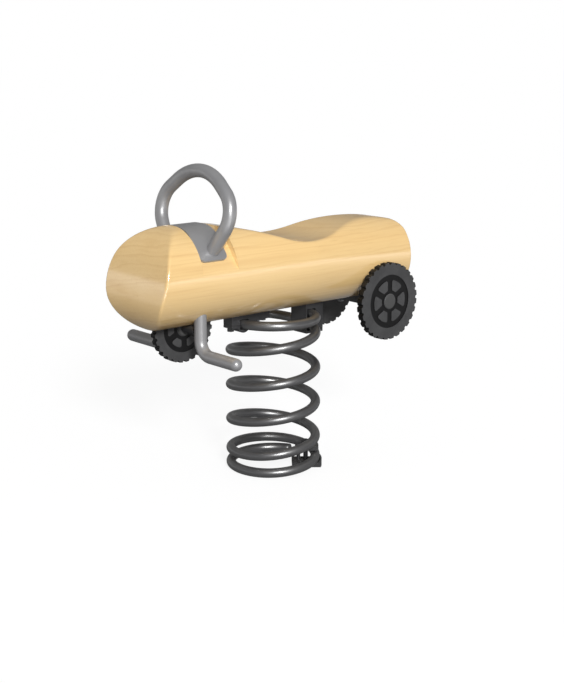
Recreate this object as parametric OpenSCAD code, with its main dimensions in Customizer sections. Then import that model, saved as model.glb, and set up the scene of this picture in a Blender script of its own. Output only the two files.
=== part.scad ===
// Spring rider: a timber log with a seat dip, a handle loop, two footrests and three wheels,
// carried by one upright coil spring. +X is forward, +Y is the rider's left and +Z is up.
// The origin is on the ground, on the axis of the spring. Lengths are in millimetres.

/* [Spring] */
// Outside diameter of the coil
coil_od = 200; // [190:1:210]
// Diameter of the spring wire
wire_d = 20; // [16:0.5:21]
// Height of the spring, from the ground to the top of its top coil
spring_h = 332; // [300:2:400]
// Number of coils, as a whole number
coils = 6; // [5:1:7]
// Depth of the flat on which the lowest coil stands
wire_flat = 0.5; // [0.3:0.1:1]
// Free space where the wire climbs over its own end
climb_gap = 3.4; // [2:0.2:6]
// Climb of one turn just above the lowest coil
settle_pitch = 24; // [18:1:34]

/* [Log] */
// Radius of the log at the front and the middle
log_r = 100; // [96:1:110]
// Radius of the log at its tail
tail_r = 87.5; // [84:0.5:92]
// Distance from the spring's axis forward to the tip of the nose
nose_x = 351; // [348:1:380]
// Distance from the spring's axis back to the tail face
tail_x = 324; // [315:1:350]
// Distance behind the spring's axis where the taper starts
taper_x = 40; // [20:1:60]
// Radius of the nose in side view, at and below its tip
nose_r = 75; // [70:1:100]
// Height of the tip of the nose above the belly
nose_h = 62; // [50:1:66]
// Lean of the nose's front above its tip, in degrees
nose_rake = 15.5; // [10:0.5:20]
// Radius of the round-over from the nose to the bonnet
nose_top_r = 92; // [60:1:100]
// Radius of the round-over at the top of the tail
tail_top_r = 27; // [20:1:40]

/* [Seat] */
// Distance of the lowest point of the seat behind the spring's axis
seat_x = 36; // [20:1:50]
// Height of the lowest point of the seat above the belly
seat_h = 149; // [142:1:156]
// Radius of the rear part of the dip
seat_r = 280; // [240:5:320]
// Radius of the front part of the dip
seat_front_r = 200; // [160:5:280]
// Slope of the front of the seat, in degrees
seat_rise = 19; // [16:0.5:21]
// Radius of the roll from the front of the seat up to the bonnet
roll_r = 750; // [700:10:800]
// Distance of the crest behind the seat from the spring's axis
crest_x = 222; // [205:1:240]
// Height of the crest behind the seat above the belly
crest_h = 176; // [172:1:182]
// Radius of the log's back behind the crest
back_r = 374; // [300:1:450]

/* [Saddle plate] */
// Place of the plate's middle along the log
plate_x = 220; // [212:1:224]
// Width of the plate along the log
plate_w = 65; // [58:1:72]
// Thickness of the plate
plate_t = 5; // [4:0.5:8]
// Depth of the plate's inner face below the top of the bonnet
plate_sink = 7.2; // [6:0.2:9]
// Length of a leg from the sharp corner of its bend
plate_leg = 74; // [68:1:80]
// Slope of the legs below level, in degrees
plate_slope = 52; // [50:0.5:54]
// Inner radius of the two bends
plate_bend_r = 58; // [40:1:62]
// Radius of the lower corners of the legs
plate_corner_r = 12; // [5:1:20]
// Distance from the axis of the log to the flats under the legs
flat_d = 87.5; // [86:0.5:89]
// Free space in front of the plate in its seat in the log
seat_room_front = 4; // [1:0.5:6]
// Free space behind the plate in its seat in the log
seat_room_rear = 17; // [2:0.5:20]

/* [Handle] */
// Outside diameter of the handle tube
handle_d = 27; // [22:0.5:32]
// Wall of the handle tube
handle_wall = 2.6; // [2:0.1:3.4]
// Place of the handle along the log, at the top of the bonnet
handle_x = 205; // [195:1:215]
// Lean of the loop towards the rider, in degrees
handle_lean = 11.4; // [0:0.2:15]
// Distance of the sharp corner of the shoulder from the middle
shoulder_y = 127.4; // [115:0.2:140]
// Height of the sharp corner of the shoulder above the bonnet
shoulder_h = 34.5; // [25:0.5:45]
// Bend radius of the tube's middle line at the shoulder
shoulder_r = 53.4; // [40:0.2:60]
// Slope of the two upper runs, in degrees
upper_slope = 37; // [36:0.2:38]
// Height of the tube's middle line above the bonnet at the top
loop_h = 101.8; // [99:0.2:105]
// Angle of the two legs from upright, in degrees
leg_splay = 33.4; // [28:0.2:38]

/* [Handle studs] */
// Diameter of the studs that hold the handle
stud_d = 10; // [8:0.5:11]
// Depth of the studs in the log
stud_deep = 60; // [40:1:65]
// Diameter of the heads inside the tube
stud_head_d = 13; // [12:0.5:14]
// Height of the heads inside the tube
stud_head_h = 5; // [3:0.5:6]

/* [Footrests] */
// Diameter of the footrest bars
rest_d = 25; // [20:0.5:30]
// Place of the stems along the log
rest_x = 237; // [230:1:250]
// Distance of the stems from the middle
rest_y = 61; // [58:1:74]
// Drop of the footrests below the belly
rest_drop = 50; // [45:1:80]
// Distance of the round ends' centres from the middle
rest_reach = 169; // [140:1:200]
// Bend radius of the bars' middle line
rest_bend_r = 30; // [22:1:34]
// Height of the stems' tops above the belly
stem_in = 75; // [60:1:90]

/* [Wheels] */
// Thickness of the wheels
wheel_t = 15; // [14:0.5:20]
// Depth of the pattern cut in the wheels
pattern_deep = 1.5; // [0.8:0.1:2]
// Number of tread lugs round a wheel
lugs = 28; // [20:1:32]
// Radius of the notches between the lugs
lug_notch_r = 4; // [3:0.2:5]
// Number of spokes in the pattern
spokes = 6; // [5:1:8]
// Width of a spoke in the pattern
spoke_w = 13; // [10:0.5:15]
// Radius of the corners of the windows between the spokes
window_round = 4; // [2:0.5:5]
// Radius of the grey disc at the hub of the pattern
hub_r = 17; // [16.8:0.1:19]
// Width of the dark band round that disc
hub_band = 7; // [5:0.5:8]

/* [Rear wheels] */
// Outer radius of the rear wheels
rear_r = 83.3; // [76:0.1:90]
// Width of the rear wheels' plain rim
rear_rim = 25.6; // [20:0.2:28]
// Width of the dark ring inside that rim
rear_band = 11.7; // [8:0.1:14]
// Distance of the rear axle behind the spring's axis
rear_x = 237; // [225:1:245]
// Height of the rear axle above the belly
rear_up = 1; // [0:0.5:4]
// Free space between the log's widest part at the axle and a rear wheel
rear_room = 1.8; // [1:0.2:6]

/* [Front wheel] */
// Outer radius of the front wheel
front_r = 70; // [66:0.5:76]
// Width of the front wheel's plain rim
front_rim = 21; // [16:0.5:23]
// Width of the dark ring inside that rim
front_band = 9.5; // [7:0.5:11]
// Drop of the front axle below the belly
front_drop = 5; // [0:0.5:10]
// Free space round the front wheel in its slot
slot_room = 7; // [4:0.5:10]
// Free space on each side of the front wheel in its slot
slot_side = 5; // [4:0.5:8]
// Free space round the front axle's sleeves under the log
axle_room = 2; // [1:0.5:4]

/* [Axles] */
// Diameter of the axles
axle_d = 12; // [10:0.5:14]
// Outer diameter of the bushes in the wheels
bush_d = 18; // [16.5:0.5:20]
// Length of the bushes in the rear wheels
bush_l = 7; // [6:0.5:8]
// Outer diameter of the sleeves on the axles
sleeve_d = 20; // [18:0.5:22]
// Radius of the recess for the nut in a rear wheel
recess_r = 16.2; // [15.5:0.1:16.6]
// Width across the flats of the axle nuts
axle_nut_af = 18; // [17:0.5:22]
// Thickness of the axle nuts
axle_nut_h = 5; // [4:0.5:5.5]
// How far a hub cap stands out of its wheel
cap_proud = 1; // [0.5:0.1:2]
// Radius of the discs on the front hub
disc_r = 15; // [12:0.5:17]
// Thickness of the discs on the front hub
disc_t = 2.5; // [1.5:0.5:4]
// Depth of the front axle's ends in the footrest stems, past their middle
axle_past = 4; // [2:0.5:8]

/* [Rear axle beam] */
// Length of the beam across the log
beam_l = 100; // [80:1:104]
// Width of the beam along the log
beam_w = 40; // [36:1:48]
// Height of the beam above the axle
beam_up = 15; // [12:0.5:18]
// Depth of the beam below the axle
beam_down = 13; // [10:0.5:16]
// Distance between the beam's screws along the log
beam_screw_x = 25; // [23.5:0.5:28]
// Distance between the beam's screws across the log
beam_screw_y = 64; // [40:1:70]
// Depth of the beam's screws in the log
beam_screw_deep = 50; // [30:1:60]

/* [Top clamps] */
// Metal of the clamp seats above the top coil
seat_web = 12; // [10:0.5:16]
// Depth to which the clamp seats are let into the log
seat_let_in = 4; // [3.7:0.1:6]
// Thickness of the clamp jaws
jaw_t = 6; // [5:0.5:8]
// Diameter of the clamp bolts
clamp_bolt_d = 8; // [6:0.5:8]
// Depth of the clamp bolts in the log
clamp_bolt_deep = 50; // [40:1:60]

/* [Front clamp] */
// Width of the front clamp
front_clamp_w = 30; // [26:1:34]
// Distance of the front clamp's outer end from the spring's axis
front_clamp_out = 120.5; // [120.5:0.5:124]
// Distance of the front jaw's inner end from the spring's axis
front_jaw_in = 54; // [50:1:56]
// Distance of the inner end of the front seat's tongue from the spring's axis
tongue_in = 21; // [12:1:22]
// Thickness of the front seat's tongue
tongue_t = 18; // [14:0.5:20]
// Distance of the tongue's first screw from its inner end
tongue_screw_in = 8; // [7:0.5:10]
// Distance between the tongue's screws
tongue_screw_gap = 16; // [15.5:0.5:17]
// Depth of the tongue's screws in the log
tongue_screw_deep = 40; // [30:1:60]
// Outer radius of the round under the front jaw, about the wire
lobe_r = 17; // [16.5:0.1:17]
// Distance of the inner bolt from the spring's axis
front_bolt_in = 63; // [61:0.5:64]
// Distance of the outer bolt from the spring's axis
front_bolt_out = 113.5; // [113:0.5:114]

/* [Rear clamp] */
// Width of the rear clamp
rear_clamp_w = 50; // [46:1:54]
// Distance of the rear clamp's inner side from the spring's axis
rear_clamp_in = 72; // [68:0.5:73]
// Distance of the rear clamp's outer side from the spring's axis
rear_clamp_out = 119; // [118:0.5:124]
// Distance of the rear bolts from the spring's axis
rear_bolt_r = 110.5; // [109:0.5:111]
// Distance between the rear bolts
rear_bolt_gap = 26; // [20:1:30]

/* [Ground anchor] */
// Direction of the anchor from the spring's axis, in degrees from forward
anchor_a = 140; // [135:1:145]
// Thickness of the foot under the wire
foot_t = 10; // [8:0.5:10]
// Distance of the foot's inner end from the spring's axis
foot_in = 40; // [36:1:42]
// Distance of the foot's outer end from the spring's axis
foot_out = 104; // [103.5:0.5:110]
// Width of the foot
foot_w = 46; // [44:1:50]
// Height of the lip at the foot's outer end
lip_h = 15; // [12:0.5:20]
// Diameter of the heel post that holds up the claw's inner end
heel_d = 8; // [6:0.5:10]
// Distance of the heel post from the spring's axis
heel_r = 54; // [52:0.5:55]
// Thickness of the claw over the wire
claw_t = 10; // [8:0.5:14]
// Width of the claw
claw_w = 30; // [26:1:34]
// Distance of the claw's inner end from the spring's axis
claw_in = 47; // [44:0.5:48]
// Distance of the claw's outer end from the spring's axis
claw_out = 97; // [92:0.5:100]
// Diameter of the stud through the claw
anchor_stud_d = 10; // [8:0.5:12]
// Distance of that stud from the spring's axis
anchor_stud_r = 69.5; // [69:0.5:71]
// Diameter of the two free holes for ground bolts
anchor_hole_d = 11; // [9:0.5:12]
// Distance of the two free holes from the spring's axis
anchor_hole_r = 60; // [58:0.5:61]
// Distance between the two free holes
anchor_hole_gap = 28; // [27:0.5:30]

/* [Fasteners] */
// Diameter of the coach screws
screw_d = 8; // [6:0.5:8]
// Width across the flats of the bolts' and screws' heads
bolt_af = 13; // [11:0.5:13]
// Thickness of the bolts' and screws' heads
bolt_head_h = 5.3; // [4:0.1:6]
// Diameter of the washers under the clamp bolts
washer_d = 13; // [12:0.5:13]
// Thickness of the washers
washer_t = 1.6; // [1:0.2:2]
// Width across the flats of the anchor nut
anchor_nut_af = 16; // [14:0.5:19]
// Thickness of the anchor nut
anchor_nut_h = 8; // [6:0.5:10]
// Length of the anchor stud above its nut
anchor_stud_past = 2; // [1:0.5:6]

/* [Fits] */
// Radial clearance of the wheels' bushes on their axles
running_fit = 0.05; // [0.03:0.01:0.08]
// Radial clearance of pieces that are held fast
tight_fit = 0.03; // [0.02:0.01:0.05]
// Clearance between faces that rest on each other
seat_fit = 0.3; // [0.2:0.05:0.4]
// Clearance round the wire in the clamps
wire_room = 1.2; // [1:0.1:1.5]

/* [Hidden] */
$fn = 64;

// Colours
wood = [0.96, 0.83, 0.58];
mid_grey = [0.50, 0.50, 0.52];
dark_grey = [0.27, 0.27, 0.28];
wheel_grey = [0.30, 0.30, 0.30];
zinc = [0.66, 0.67, 0.69];
nylon = [0.88, 0.88, 0.85];

// Spring: turns are counted from the start of the wire
wire_r = wire_d / 2;
coil_r = (coil_od - wire_d) / 2;
wire_start_a = 205;
end_gap_turns = 0.08;
turns = coils - end_gap_turns;
climb_from = 0.57;
climb_to = 1.02;
free_from = 1.52;
top_flat_turns = 0.70;
free_to = turns - top_flat_turns;
bend_turns = 0.08;
wire_low_z = wire_r - wire_flat;
wire_top_z = spring_h - wire_r;
climb_rise = wire_d + climb_gap;
climb_pitch = climb_rise / (climb_to - climb_from);
settle_rise = settle_pitch * (free_from - climb_to);
free_pitch = (wire_top_z - wire_low_z - climb_rise - settle_rise) / (free_to - free_from);
rings_per_turn = 24;
wire_sides = 10;
ring_count = round(turns * rings_per_turn);

// A straight ramp that starts at 0, rounded off over the bend on each side of its start
function ramp(x) = x < -bend_turns ? 0 : x > bend_turns ? x : pow(x + bend_turns, 2) / (4 * bend_turns);

// Height of the wire's middle line after a number of turns
function wire_z(u) = wire_low_z + climb_pitch * ramp(u - climb_from)
    + (settle_pitch - climb_pitch) * ramp(u - climb_to)
    + (free_pitch - settle_pitch) * ramp(u - free_from) - free_pitch * ramp(u - free_to);

// Turns at which the wire passes a direction on a given lap
function turns_at(a, lap) = lap + (a - wire_start_a) / 360;

function wire_point(u) = let (a = wire_start_a + 360 * u) [coil_r * cos(a), coil_r * sin(a), wire_z(u)];

function wire_ring(u) = let (a = wire_start_a + 360 * u)
    [for (k = [0 : wire_sides - 1])
        let (b = 360 * k / wire_sides + 90, r = coil_r + wire_r * cos(b))
        [r * cos(a), r * sin(a), wire_z(u) + wire_r * sin(b)]];

// Heights that follow from the spring
slot_top_z = spring_h + seat_fit;
seat_top_z = slot_top_z + seat_web;
belly_z = seat_top_z - seat_let_in;
axis_z = belly_z + log_r;
bonnet_z = belly_z + 2 * log_r;

// Side view of the log, in x and height above the belly
over = 2;
arc_step = 3;
side_top = 2 * log_r + over;
nose_c = [nose_x - nose_r, nose_h];
nose_top_h = side_top - nose_top_r;
nose_back = (nose_top_r - nose_r + (nose_top_h - nose_h) * sin(nose_rake)) / cos(nose_rake);
nose_top_c = [nose_c[0] - nose_back, nose_top_h];
nose_low = -asin((nose_h + over) / nose_r);
seat_c = [-seat_x, seat_h + seat_r];
crest_turn = 2 * atan((crest_h - seat_h) / (crest_x - seat_x));
crest_r = (crest_x - seat_x) / sin(crest_turn) - seat_r;
crest_c = [-crest_x, crest_h - crest_r];
back_c = [-crest_x, crest_h - back_r];
tail_top_x = tail_top_r - tail_x;
tail_top_c = [tail_top_x, back_c[1] + sqrt(pow(back_r - tail_top_r, 2) - pow(tail_top_x + crest_x, 2))];
tail_turn = atan2(tail_top_c[1] - back_c[1], tail_top_c[0] - back_c[0]);
seat_front_c = [-seat_x, seat_h + seat_front_r];
seat_front = seat_front_c + seat_front_r * [sin(seat_rise), -cos(seat_rise)];
// The roll ends under the plate, at its rear edge
roll_c = seat_front + roll_r * [sin(seat_rise), -cos(seat_rise)];
roll_end_a = asin((roll_c[0] - plate_x + plate_w / 2) / roll_r);
roll_end = roll_c + roll_r * [-sin(roll_end_a), cos(roll_end_a)];

function arc(c, r, a0, a1) = let (n = max(2, ceil(abs(a1 - a0) / arc_step)))
    [for (i = [0 : n]) let (a = a0 + (a1 - a0) * i / n) c + r * [cos(a), sin(a)]];

side_points = concat(
    [[-tail_x, -over]],
    arc(nose_c, nose_r, nose_low, nose_rake),
    arc(nose_top_c, nose_top_r, nose_rake, 90),
    [[roll_end[0] + side_top - roll_end[1], side_top]],
    arc(roll_c, roll_r, 90 + roll_end_a, 90 + seat_rise),
    arc(seat_front_c, seat_front_r, seat_rise - 90 - arc_step, -90),
    arc(seat_c, seat_r, -90 - arc_step, -90 - crest_turn),
    arc(crest_c, crest_r, 90 - crest_turn + arc_step, 90),
    arc(back_c, back_r, 90 + arc_step, tail_turn),
    arc(tail_top_c, tail_top_r, tail_turn + arc_step, 180)
);

// Taper of the log behind the spring, with a level belly and a faint step where it starts
taper_step = 0.4;
taper_lap = 8;
taper_l = tail_x - taper_x + taper_lap;
taper_r1 = log_r - taper_step;
taper_tilt = atan((taper_r1 - tail_r) / taper_l);
function log_r_at(x) = x > -taper_x ? log_r : log_r - (log_r - tail_r) * (-taper_x - x) / (tail_x - taper_x);

// Saddle plate
normal_a = 90 - plate_slope;
plate_in_d = flat_d + seat_fit;
plate_out_d = plate_in_d + plate_t;
plate_top_z = bonnet_z - plate_sink;
bend_corner_y = (plate_in_d - (log_r - plate_sink) * sin(normal_a)) / cos(normal_a);
bend_back = plate_bend_r * tan(plate_slope / 2);
// Rounds cut at corners cross the edges beside them at a faint angle, so that they end cleanly
bite_step = 0.1;

// Cross-section of the plate: one side of a face, from the middle of the bonnet to the leg's end
function plate_side(off, leg) = let (n = [cos(normal_a), sin(normal_a)], r = plate_bend_r + off,
        c = [bend_corner_y - bend_back, -plate_bend_r])
    concat(arc(c, r, 90, normal_a), [c + r * n + (leg - bend_back) * [n[1], -n[0]]]);

function reversed(points) = [for (i = [len(points) - 1 : -1 : 0]) points[i]];

function plate_face(off, leg) = let (side = plate_side(off, leg))
    concat([for (p = reversed(side)) [-p[0], p[1]]], side);

plate_points = concat(plate_face(plate_t, plate_leg), reversed(plate_face(0, plate_leg)));
plate_seat_points = plate_face(-seat_fit, 2 * plate_leg);

// Feet of the handle, where its legs meet the plate
foot_run = (shoulder_y * cos(normal_a) + (log_r + shoulder_h * cos(handle_lean)) * sin(normal_a) - plate_out_d)
    / (sin(leg_splay) * cos(normal_a) + cos(leg_splay) * cos(handle_lean) * sin(normal_a));
foot_y = shoulder_y - foot_run * sin(leg_splay);
foot_h = shoulder_h - foot_run * cos(leg_splay);
foot_x = handle_x - foot_h * sin(handle_lean);
foot_z = bonnet_z + foot_h * cos(handle_lean);

// Bends of the handle loop, in its own plane
leg_a = 90 - leg_splay;
shoulder_turn = 180 - upper_slope - leg_a;
shoulder_back = shoulder_r * tan(shoulder_turn / 2);
apex_h = shoulder_h + shoulder_y * tan(upper_slope);
apex_r = (apex_h - loop_h) / (1 / cos(upper_slope) - 1);
upper_l = shoulder_y / cos(upper_slope) - apex_r * tan(upper_slope) - shoulder_back;
leg_past = 2 * handle_d;
// The straight runs reach into the bends, and are finer by a hair so that they end inside them
run_lap = 2;
run_step = 0.1;

// Wheels and axles
rear_z = belly_z + rear_up;
front_z = belly_z - front_drop;
axle_r = axle_d / 2;
rear_face = log_r_at(-rear_x) + rear_room;
rear_out = rear_face + wheel_t;
nut_y = rear_face + bush_l + seat_fit;
recess_y = rear_face + bush_l;
cap_y = nut_y + axle_nut_h + seat_fit;
front_half = wheel_t / 2;
disc_y = front_half + seat_fit;
sleeve_y = disc_y + disc_t + seat_fit;
beam_half = beam_l / 2;
rest_z = belly_z - rest_drop;

// Top clamps
slot_in_r = coil_r - wire_r - wire_room;
slot_out_r = coil_r + wire_r + wire_room;
front_jaw_z = wire_top_z - seat_fit - jaw_t;
rear_half_a = asin(rear_clamp_w / 2 / (coil_r - wire_r));
rear_split_z = wire_z(turns_at(180 - rear_half_a, coils - 1)) - wire_r - seat_fit;
rear_jaw_z = rear_split_z - jaw_t;

// Ground anchor
claw_half_a = asin(claw_w / 2 / (coil_r - wire_r));
claw_z = wire_z(turns_at(anchor_a + claw_half_a, 1)) + wire_r + seat_fit;
anchor_top_z = claw_z + claw_t + washer_t + anchor_nut_h;
stud_seat_z = foot_t / 2;

module hexagon(af, h) {
    cylinder(r = af / 2 / cos(30), h = h, $fn = 6);
}

module ring_disc(r, bore_r, h) {
    difference() {
        cylinder(r = r, h = h);
        translate([0, 0, -over]) cylinder(r = bore_r, h = h + 2 * over);
    }
}

// A solid that runs along +Y from y0, on the axis at x and z
module along_y(x, y0, z) {
    translate([x, y0, z]) rotate([-90, 0, 0]) children();
}

module both_sides() {
    children();
    mirror([0, 1, 0]) children();
}

// Bolt whose head hangs under z = 0 and whose shank goes up
module bolt_up(d, l) {
    translate([0, 0, -bolt_head_h / 2]) cylinder(d = d, h = l + bolt_head_h / 2);
    translate([0, 0, -bolt_head_h]) hexagon(bolt_af, bolt_head_h);
}

// Log
module log_blank() {
    translate([-taper_x, 0, axis_z]) rotate([0, 90, 0]) cylinder(r = log_r, h = nose_x + taper_x + over, $fn = 128);
    translate([taper_lap - taper_x, 0, axis_z]) rotate([0, -90 - taper_tilt, 0]) taper_cone();
}

module taper_cone() {
    cylinder(r1 = taper_r1, r2 = tail_r - (taper_r1 - tail_r) * over / taper_l, h = taper_l + over, $fn = 128);
}

module side_shape() {
    translate([0, log_r + over, belly_z]) rotate([90, 0, 0])
        linear_extrude(height = 2 * (log_r + over)) polygon(side_points);
}

module plate_seat() {
    seat_l = seat_room_rear + plate_w + seat_room_front;
    translate([plate_x - plate_w / 2 - seat_room_rear, 0, 0]) difference() {
        translate([0, -2 * log_r, axis_z]) cube([seat_l, 4 * log_r, 2 * log_r]);
        translate([-over, 0, plate_top_z]) rotate([90, 0, 90])
            linear_extrude(height = seat_l + 2 * over) polygon(plate_seat_points);
    }
}

module handle_stud_places() {
    both_sides() translate([foot_x, foot_y, foot_z]) rotate([normal_a - 90, 0, 0]) children();
}

module beam_screw_places() {
    for (i = [-1, 1], j = [-1, 1])
        translate([-rear_x + i * beam_screw_x / 2, j * beam_screw_y / 2, rear_z - beam_down]) children();
}

module tongue_screw_places() {
    for (i = [0, 1])
        translate([tongue_in + tongue_screw_in + i * tongue_screw_gap, 0, seat_top_z - tongue_t]) children();
}

module front_bolt_places(z) {
    for (x = [front_bolt_in, front_bolt_out]) translate([x, 0, z]) children();
}

module rear_bolt_places(z) {
    for (s = [-1, 1]) translate([-rear_bolt_r, s * rear_bolt_gap / 2, z]) children();
}

module log_bores() {
    handle_stud_places() translate([0, 0, -plate_t - stud_deep - seat_fit])
        cylinder(d = stud_d + 2 * tight_fit, h = stud_deep + seat_fit + plate_t);
    both_sides() translate([rest_x, rest_y, rest_z])
        cylinder(d = rest_d + 2 * tight_fit, h = rest_drop + stem_in + seat_fit);
    beam_screw_places() cylinder(d = screw_d + 2 * tight_fit, h = beam_up + beam_down + beam_screw_deep + seat_fit);
    tongue_screw_places() cylinder(d = screw_d + 2 * tight_fit, h = tongue_t + tongue_screw_deep + seat_fit);
    front_bolt_places(belly_z - over) clamp_bolt_bore(over + seat_let_in + clamp_bolt_deep + seat_fit);
    rear_bolt_places(belly_z - over) clamp_bolt_bore(over + seat_let_in + clamp_bolt_deep + seat_fit);
}

module log_pockets() {
    along_y(rest_x, -front_half - slot_side, front_z) cylinder(r = front_r + slot_room, h = wheel_t + 2 * slot_side);
    along_y(rest_x, -rest_y, front_z) cylinder(r = bush_d / 2 + axle_room, h = 2 * rest_y);
    translate([-rear_x - beam_w / 2 - seat_fit, -log_r, belly_z - over])
        cube([beam_w + 2 * seat_fit, 2 * log_r, over + rear_up + beam_up + seat_fit]);
    translate([tongue_in - seat_fit, -front_clamp_w / 2 - seat_fit, belly_z - over])
        cube([front_clamp_out - tongue_in + 2 * seat_fit, front_clamp_w + 2 * seat_fit, over + seat_let_in]);
    translate([-rear_clamp_out - seat_fit, -rear_clamp_w / 2 - seat_fit, belly_z - over])
        cube([rear_clamp_out - rear_clamp_in + 2 * seat_fit, rear_clamp_w + 2 * seat_fit, over + seat_let_in]);
}

module log_body() {
    color(wood) difference() {
        intersection() {
            log_blank();
            side_shape();
        }
        plate_seat();
        log_pockets();
        log_bores();
    }
}

// Saddle plate
module corner_bite() {
    difference() {
        translate([-plate_corner_r, -plate_corner_r]) square(plate_corner_r + over);
        translate([-plate_corner_r, -plate_corner_r]) circle(r = plate_corner_r + bite_step);
    }
}

module leg_end_bites() {
    translate([plate_x, bend_corner_y, plate_top_z]) rotate([-plate_slope, 0, 0]) translate([0, plate_leg, -over])
        linear_extrude(height = plate_t + 2 * over) {
            translate([plate_w / 2, 0]) corner_bite();
            mirror([1, 0]) translate([plate_w / 2, 0]) corner_bite();
        }
}

module saddle_plate() {
    color(mid_grey) difference() {
        translate([plate_x - plate_w / 2, 0, plate_top_z]) rotate([90, 0, 90])
            linear_extrude(height = plate_w) polygon(plate_points);
        both_sides() leg_end_bites();
        handle_stud_places() translate([0, 0, -plate_t - over])
            cylinder(d = stud_d + 2 * tight_fit, h = plate_t + 2 * over);
    }
}

// Handle
module loop_run(p, a, l, d) {
    translate([p[0], p[1], 0]) rotate([0, 0, a]) rotate([0, 90, 0]) translate([0, 0, -run_lap])
        cylinder(d = d - 2 * run_step, h = l + 2 * run_lap);
}

module loop_bend(c, r, a, turn, d) {
    translate([c[0], c[1], 0]) rotate([0, 0, a]) rotate_extrude(angle = turn) translate([r, 0]) circle(d = d);
}

module loop_side(d) {
    shoulder = [shoulder_y, shoulder_h];
    leg_dir = [sin(leg_splay), cos(leg_splay)];
    upper_dir = [-cos(upper_slope), sin(upper_slope)];
    leg_top = shoulder - shoulder_back * leg_dir;
    leg_l = foot_run - shoulder_back + leg_past;
    loop_run(leg_top - leg_l * leg_dir, leg_a, leg_l, d);
    loop_bend(leg_top + shoulder_r * [-leg_dir[1], leg_dir[0]], shoulder_r, -leg_splay, shoulder_turn, d);
    loop_run(shoulder + shoulder_back * upper_dir, 180 - upper_slope, upper_l, d);
}

module loop_rod(d) {
    translate([handle_x, 0, bonnet_z]) rotate([0, -handle_lean, 0]) rotate([90, 0, 90]) {
        loop_side(d);
        mirror([1, 0, 0]) loop_side(d);
        loop_bend([0, loop_h - apex_r], apex_r, 90 - upper_slope, 2 * upper_slope, d);
    }
}

module handle_loop() {
    color(mid_grey) difference() {
        loop_rod(handle_d);
        loop_rod(handle_d - 2 * handle_wall);
        both_sides() translate([handle_x, 0, axis_z]) rotate([normal_a, 0, 0])
            translate([-log_r, plate_out_d - log_r, -log_r]) cube([2 * log_r, log_r, 2 * log_r]);
    }
}

module handle_studs() {
    color(zinc) handle_stud_places() {
        cylinder(d = stud_head_d, h = stud_head_h);
        translate([0, 0, -plate_t - stud_deep]) cylinder(d = stud_d, h = plate_t + stud_deep);
    }
}

// Footrests
module footrest() {
    difference() {
        union() {
            translate([rest_x, rest_y, rest_z + rest_bend_r]) cylinder(d = rest_d, h = rest_drop + stem_in - rest_bend_r);
            translate([rest_x, rest_y + rest_bend_r, rest_z + rest_bend_r]) rotate([90, 0, 90]) rotate([0, 0, 180])
                rotate_extrude(angle = 90) translate([rest_bend_r, 0]) circle(d = rest_d);
            along_y(rest_x, rest_y + rest_bend_r, rest_z) cylinder(d = rest_d, h = rest_reach - rest_y - rest_bend_r);
            translate([rest_x, rest_reach, rest_z]) rotate([-90, 0, 0]) round_end();
        }
        along_y(rest_x, rest_y - rest_d, front_z) cylinder(r = axle_r + tight_fit, h = rest_d + axle_past + seat_fit);
    }
}

module round_end() {
    rotate_extrude() intersection() {
        circle(d = rest_d);
        square(rest_d);
    }
}

module footrest_left() {
    color(mid_grey) footrest();
}

module footrest_right() {
    color(mid_grey) mirror([0, 1, 0]) footrest();
}

// Wheels lie on z = 0 with the patterned face up
module wheel_pattern(r, rim, band) {
    ring_r = r - rim;
    window_r = ring_r - band;
    difference() {
        circle(r = ring_r);
        circle(r = hub_r);
        wheel_windows(window_r, hub_r + hub_band);
    }
}

module wheel_windows(out_r, in_r) {
    difference() {
        circle(r = out_r);
        circle(r = in_r);
        for (i = [0 : spokes - 1]) rotate(90 + 360 * i / spokes) {
            translate([0, -spoke_w / 2]) square([out_r + over, spoke_w]);
            for (side = [0, 1]) mirror([0, side]) {
                window_bite(out_r - window_round, 1);
                window_bite(in_r + window_round, -1);
            }
        }
    }
}

// Takes off a window's sharp corner beside the spoke along +X, at its outer (1) or inner (-1) end
module window_bite(c_r, way) {
    reach = window_round + over;
    c_y = spoke_w / 2 + window_round;
    c = [sqrt(c_r * c_r - c_y * c_y), c_y];
    to_rim = way * c / c_r;
    to_spoke = [0, -1];
    to_corner = (to_rim + to_spoke) / norm(to_rim + to_spoke);
    difference() {
        polygon([c, c + reach * to_spoke, c + 2 * reach * to_corner, c + reach * to_rim]);
        translate(c) circle(r = window_round + bite_step);
    }
}

module wheel_blank(r) {
    difference() {
        cylinder(r = r, h = wheel_t, $fn = 128);
        for (i = [0 : lugs - 1])
            rotate([0, 0, 360 * i / lugs]) translate([r, 0, -over]) cylinder(r = lug_notch_r, h = wheel_t + 2 * over);
    }
}

module rear_wheel() {
    along_y(-rear_x, rear_face, rear_z) difference() {
        wheel_blank(rear_r);
        translate([0, 0, wheel_t - pattern_deep])
            linear_extrude(height = pattern_deep + over) wheel_pattern(rear_r, rear_rim, rear_band);
        translate([0, 0, -over]) cylinder(r = bush_d / 2, h = wheel_t + 2 * over);
        translate([0, 0, bush_l]) cylinder(r = recess_r, h = wheel_t);
    }
}

module rear_wheel_left() {
    color(wheel_grey) rear_wheel();
}

module rear_wheel_right() {
    color(wheel_grey) mirror([0, 1, 0]) rear_wheel();
}

module front_wheel() {
    color(wheel_grey) along_y(rest_x, -front_half, front_z) difference() {
        wheel_blank(front_r);
        for (z = [-over, wheel_t - pattern_deep])
            translate([0, 0, z])
                linear_extrude(height = pattern_deep + over) wheel_pattern(front_r, front_rim, front_band);
        translate([0, 0, -over]) cylinder(r = bush_d / 2, h = wheel_t + 2 * over);
    }
}

module rear_bush() {
    along_y(-rear_x, rear_face, rear_z) ring_disc(bush_d / 2 - tight_fit, axle_r + running_fit, bush_l);
}

module rear_bush_left() {
    color(nylon) rear_bush();
}

module rear_bush_right() {
    color(nylon) mirror([0, 1, 0]) rear_bush();
}

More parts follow.
